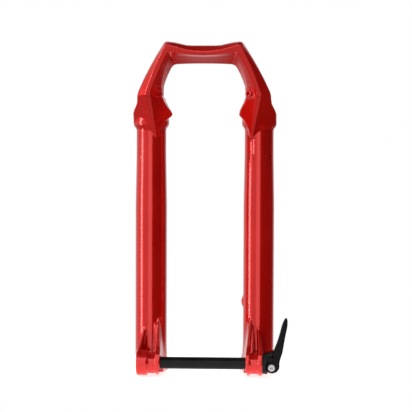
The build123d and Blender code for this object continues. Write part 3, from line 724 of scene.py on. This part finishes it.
def lever_field(x, y, z):
    """Blade with rounded edges that narrows to its tip, on a round cam with a slot and pin hole."""
    u, v = x - pin_x, z - pin_z
    outline = outline_field(u, v, blade_loop)
    cam = np.hypot(u - 0.5, v - 0.9) - CAM_RADIUS
    side = join_round(outline, cam, 1.5)
    width = np.interp(z, (-12, 11, 33, 56), (9.4, 9.4, 7.4, 5.6))
    body = cut_round(side, np.abs(y) - width, 1.5)
    mouth = slab_field(u, -12, 6.8) + np.maximum(slab_field(v, -9.4, 6.3), 0) * 2
    slot = np.maximum(np.abs(y) - LEVER_SLOT, np.minimum(np.hypot(u, v) - 6.8, mouth))
    body = cut_round(body, -slot, 0.3)
    return np.maximum(body, pin_radius + PIN_ROOM - np.hypot(u, v))


def cup_field(x, y, z):
    """Round flange with a wing over the lever's cam and a tongue that holds the pin."""
    ring = np.hypot(y, z)
    start, end = cup_low[0], cup_low[0] + 6.0
    flange = cut_round(ring - 13.0, slab_field(x, start, end), 1.2)
    wing = outline_field(x, z, [(start, 2.7), (start, 12.0), (end, 14.2), (88.7, 16.7), (88.0, 11.2),
                                (82.2, 5.4), (end, 2.7)])
    wing = cut_round(wing, np.abs(y) - 9.3, 1.6)
    ridge = outline_field(x, z, [(start, 4), (start, 12.8), (76.2, 12.8), (83.3, 7.5), (87.6, 9.9),
                                 (87.6, 4)])
    ridge = cut_round(ridge, slab_field(y, -10.6, 0), 0.9)
    body = join_round(flange, wing, 1.0)
    body = join_round(body, ridge, 0.4)
    for across, up in ((0.5, 0.9), (1.0, 0.2), (0.8, -0.65)):
        room = np.hypot(x - pin_x - across, z - pin_z - up) - CAM_RADIUS - 0.25
        body = cut_round(body, -room, 0.2)
    stem = np.maximum(slab_field(x, start, pin_x), slab_field(z, pin_z - 5, pin_z + 1))
    tongue = np.minimum(np.hypot(x - pin_x, z - pin_z) - 5.9, stem)
    body = np.minimum(body, cut_round(tongue, np.abs(y) - 2.9, 0.3))
    pocket = np.maximum(np.abs(y) - 8.5, slab_field(z, -2.5, 7.5))
    pocket = np.maximum(slab_field(x, follower_low[0] - 0.4, end + 8), pocket)
    pocket = np.maximum(pocket, x - follower_high[0] - 1.6)
    bore = np.minimum(np.maximum(ring - 9.7, x - start - 1.15), ring - 3.1)
    body = np.maximum(body, -np.minimum(pocket, np.maximum(bore, x - end - 1)))
    return np.maximum(body, pin_radius + PIN_ROOM - np.hypot(x - pin_x, z - pin_z))


def pin_field(x, y, z):
    """Round pin with broken edges and a six-sided socket in its front end."""
    u, v = x - pin_x, z - pin_z
    pin = cut_round(np.hypot(u, v) - pin_radius, slab_field(y, pin_low[1], pin_high[1]), 0.45)
    sixth = math.radians(60)
    flats = [np.abs(u * math.cos(k * sixth) + v * math.sin(k * sixth)) for k in range(3)]
    key = np.maximum.reduce(flats) - 1.3
    return np.maximum(pin, -np.maximum(key, y - pin_low[1] - 2.5))


def box_grid(low, high, sizes):
    """Grid lines along x, y and z through a box, with a size for each."""
    return [steps(low[k], high[k], sizes[k]) for k in range(3)]


def make_lever(material):
    """The folding lever."""
    grid = box_grid(lever_low - 1.5, lever_high + 1.5, (0.5, 0.6, 0.6))
    piece = solid_piece("lever", lever_field, *grid, material)
    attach(piece, "lever")
    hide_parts("cam_lever")


def make_cup(material):
    """The cup that joins the lever to the axle."""
    grid = box_grid(cup_low - 1.5, cup_high + 1.5, (0.45, 0.55, 0.45))
    piece = solid_piece("cup", cup_field, *grid, material)
    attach(piece, "axle")
    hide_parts("lever_cup")


def make_pin(material):
    """The cam pin, on a grid that is fine at its ends and long between them."""
    low, high = pin_low - 1.2, pin_high + 1.2
    front, back = pin_low[1] + 3.2, pin_high[1] - 0.8
    ys = np.concatenate([steps(low[1], front, 0.3), steps(front, back, 3.0)[1:],
                         steps(back, high[1], 0.3)[1:]])
    xs, zs = steps(low[0], high[0], 0.26), steps(low[2], high[2], 0.26)
    piece = solid_piece("pin", pin_field, xs, ys, zs, material)
    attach(piece, "axle")
    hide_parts("cam_pin")


# --- Materials ------------------------------------------------------------------------------------
def new_group(name, inputs, outputs):
    """Node group with named inputs (name, kind, default) and outputs (name, kind)."""
    group = bpy.data.node_groups.new(name, "ShaderNodeTree")
    for label, kind, default in inputs:
        socket = group.interface.new_socket(label, in_out="INPUT", socket_type=kind)
        if default is not None:
            socket.default_value = default
    for label, kind in outputs:
        group.interface.new_socket(label, in_out="OUTPUT", socket_type=kind)
    return group, group.nodes.new("NodeGroupInput"), group.nodes.new("NodeGroupOutput")


def grain_group():
    """Uneven surface: noise of a grain size in millimetres, stretched along an axis if wanted.
    Gives the bumped normal and the noise itself as a mask."""
    group, given, out = new_group(
        "grain",
        [("Size", "NodeSocketFloat", 1.0), ("Stretch", "NodeSocketVector", (1, 1, 1)),
         ("Height", "NodeSocketFloat", 0.01), ("Detail", "NodeSocketFloat", 2.0)],
        [("Normal", "NodeSocketVector"), ("Mask", "NodeSocketFloat")])
    coords = group.nodes.new("ShaderNodeTexCoord")
    squeeze = group.nodes.new("ShaderNodeVectorMath")
    squeeze.operation = "MULTIPLY"
    noise = group.nodes.new("ShaderNodeTexNoise")
    bump = group.nodes.new("ShaderNodeBump")
    bump.inputs["Strength"].default_value = 1.0
    group.links.new(coords.outputs["Object"], squeeze.inputs[0])
    group.links.new(given.outputs["Stretch"], squeeze.inputs[1])
    group.links.new(squeeze.outputs[0], noise.inputs["Vector"])
    group.links.new(calc(group, "DIVIDE", METRE, given.outputs["Size"]), noise.inputs["Scale"])
    group.links.new(given.outputs["Detail"], noise.inputs["Detail"])
    group.links.new(noise.outputs[0], bump.inputs["Height"])
    group.links.new(calc(group, "DIVIDE", given.outputs["Height"], METRE), bump.inputs["Distance"])
    group.links.new(bump.outputs[0], out.inputs["Normal"])
    group.links.new(noise.outputs[0], out.inputs["Mask"])
    return group


def blend_group():
    """Goes from one colour and roughness to another as a mask rises through its middle."""
    group, given, out = new_group(
        "blend",
        [("Mask", "NodeSocketFloat", 0.5),
         ("Low Colour", "NodeSocketColor", None), ("High Colour", "NodeSocketColor", None),
         ("Low Roughness", "NodeSocketFloat", 0.3), ("High Roughness", "NodeSocketFloat", 0.4)],
        [("Colour", "NodeSocketColor"), ("Roughness", "NodeSocketFloat")])
    share = ramp(group, given.outputs["Mask"], 0.35, 0.65)
    mix = group.nodes.new("ShaderNodeMix")
    mix.data_type = "RGBA"
    group.links.new(share, mix.inputs["Factor"])
    group.links.new(given.outputs["Low Colour"], mix.inputs[6])
    group.links.new(given.outputs["High Colour"], mix.inputs[7])
    rise = calc(group, "SUBTRACT", given.outputs["High Roughness"], given.outputs["Low Roughness"])
    group.links.new(mix.outputs[2], out.inputs["Colour"])
    rough = calc(group, "ADD", given.outputs["Low Roughness"], calc(group, "MULTIPLY", rise, share))
    group.links.new(rough, out.inputs["Roughness"])
    return group


def pore_group():
    """Open cells: a mask that is high in the cells and low on the walls between them, with its
    bumped normal."""
    group, given, out = new_group(
        "pores", [("Size", "NodeSocketFloat", 0.8), ("Height", "NodeSocketFloat", 0.2)],
        [("Normal", "NodeSocketVector"), ("Mask", "NodeSocketFloat")])
    coords = group.nodes.new("ShaderNodeTexCoord")
    cells = group.nodes.new("ShaderNodeTexVoronoi")
    bump = group.nodes.new("ShaderNodeBump")
    group.links.new(coords.outputs["Object"], cells.inputs["Vector"])
    group.links.new(calc(group, "DIVIDE", METRE, given.outputs["Size"]), cells.inputs["Scale"])
    group.links.new(cells.outputs["Distance"], bump.inputs["Height"])
    group.links.new(calc(group, "DIVIDE", given.outputs["Height"], METRE), bump.inputs["Distance"])
    group.links.new(bump.outputs[0], out.inputs["Normal"])
    group.links.new(cells.outputs["Distance"], out.inputs["Mask"])
    return group


def use_group(tree, group, **values):
    """One copy of a node group, with its inputs set by name; spaces are written as underscores."""
    node = tree.nodes.new("ShaderNodeGroup")
    node.node_tree = group
    for name, value in values.items():
        target = node.inputs[name.replace("_", " ")]
        if isinstance(value, bpy.types.NodeSocket):
            tree.links.new(value, target)
        else:
            target.default_value = value
    return node


def surface(name, low, high, rough, metallic, size, height, stretch=(1, 1, 1), drift=25.0, pores=False):
    """Principled material whose colour and roughness drift from low to high over patches of the
    drift size, under a fine grain or open cells. All sizes are in millimetres."""
    material = bpy.data.materials.new(name)
    material.use_nodes = True
    tree = material.node_tree
    shader = tree.nodes["Principled BSDF"]
    shader.inputs["Metallic"].default_value = metallic
    fine = use_group(tree, pores_made if pores else grain, Size=size, Height=height)
    if not pores:
        fine.inputs["Stretch"].default_value = stretch
    patches = fine if pores else use_group(tree, grain, Size=drift, Height=0.0)
    mixed = use_group(tree, blend, Mask=patches.outputs["Mask"], Low_Colour=(*low, 1), High_Colour=(*high, 1),
                      Low_Roughness=rough[0], High_Roughness=rough[1])
    tree.links.new(mixed.outputs["Colour"], shader.inputs["Base Color"])
    tree.links.new(mixed.outputs["Roughness"], shader.inputs["Roughness"])
    tree.links.new(fine.outputs["Normal"], shader.inputs["Normal"])
    return material, shader


def red_paint():
    """Deep red over bright metal flake, under a clear coat with a faint orange peel."""
    material, shader = surface("red_gloss_paint", (0.68, 0.005, 0.002), (0.73, 0.008, 0.004),
                               (0.20, 0.25), 0.45, 0.5, 0.0015, drift=60.0)
    tree = material.node_tree
    peel = use_group(tree, grain, Size=2.6, Height=0.0035)
    shader.inputs["Specular IOR Level"].default_value = 0.1
    shader.inputs["Coat Weight"].default_value = 1.0
    shader.inputs["Coat Roughness"].default_value = 0.035
    tree.links.new(peel.outputs["Normal"], shader.inputs["Coat Normal"])
    return material


def lever_black():
    """Forged lever with a smooth satin black finish."""
    material, shader = surface("lever_black", (0.004, 0.0035, 0.004), (0.007, 0.006, 0.006),
                               (0.36, 0.44), 0.0, 0.35, 0.004, drift=9.0)
    shader.inputs["Specular IOR Level"].default_value = 0.12
    return material


def black_anodise():
    """Turned alloy, anodised black, with a trace of its turning marks round the axle."""
    material, shader = surface("black_anodise", (0.005, 0.005, 0.0055), (0.009, 0.009, 0.0095),
                               (0.26, 0.34), 0.1, 0.9, 0.0012, (8, 1, 1), 14.0)
    shader.inputs["Specular IOR Level"].default_value = 0.18
    return material


def bright_steel():
    """Bright ground steel."""
    return surface("bright_steel", (0.46, 0.45, 0.46), (0.56, 0.55, 0.56),
                   (0.28, 0.38), 1.0, 0.8, 0.0012, (1, 6, 1), 2.0)[0]


def plain_steel():
    """Plain turned steel."""
    return surface("plain_steel", (0.36, 0.36, 0.37), (0.46, 0.46, 0.46),
                   (0.30, 0.42), 1.0, 1.0, 0.002, (6, 1, 1), 6.0)[0]


def spring_steel():
    """Bare spring wire."""
    return surface("spring_steel", (0.30, 0.29, 0.28), (0.42, 0.41, 0.40),
                   (0.25, 0.35), 1.0, 0.3, 0.001, drift=3.0)[0]


def bearing_plastic():
    """Dull black bearing plastic."""
    return surface("bearing_plastic", (0.026, 0.026, 0.028), (0.036, 0.036, 0.038),
                   (0.42, 0.52), 0.0, 0.4, 0.004, drift=7.0)[0]


def bushing_bronze():
    """Bronze backing worn through a grey low-friction skin in specks."""
    return surface("bushing_bronze", (0.22, 0.21, 0.19), (0.42, 0.29, 0.15),
                   (0.34, 0.48), 0.6, 0.25, 0.003, drift=0.7)[0]


def oiled_foam():
    """Dark open-cell foam, soaked in oil."""
    return surface("oiled_foam", (0.035, 0.034, 0.036), (0.11, 0.105, 0.11),
                   (0.6, 0.95), 0.0, 0.8, 0.25, pores=True)[0]


def black_rubber():
    """Matt black rubber."""
    return surface("black_rubber", (0.012, 0.012, 0.013), (0.020, 0.020, 0.021),
                   (0.5, 0.66), 0.0, 0.25, 0.006, drift=5.0)[0]


def insert_alloy():
    """Bare turned alloy."""
    return surface("insert_alloy", (0.60, 0.61, 0.63), (0.70, 0.71, 0.73),
                   (0.25, 0.34), 1.0, 0.9, 0.0015, (7, 1, 1), 5.0)[0]


def dress_nodes(finishes):
    """Puts each CAD node's finish on it, by the material slot that its record names."""
    for node, piece in frame["nodes"].items():
        if slots[node] in finishes:
            for place in piece.material_slots:
                place.material = finishes[slots[node]]


grain = grain_group()
blend = blend_group()
pores_made = pore_group()
finishes = {build.__name__: build() for build in (
    red_paint, lever_black, black_anodise, bright_steel, plain_steel, spring_steel,
    bearing_plastic, bushing_bronze, black_rubber, insert_alloy)}
finishes["foam"] = oiled_foam()

make_camera()
make_floor()
make_world()
light_stage()
make_casting(finishes["red_paint"])
make_lever(finishes["lever_black"])
make_cup(finishes["black_anodise"])
make_pin(finishes["bright_steel"])
dress_nodes(finishes)
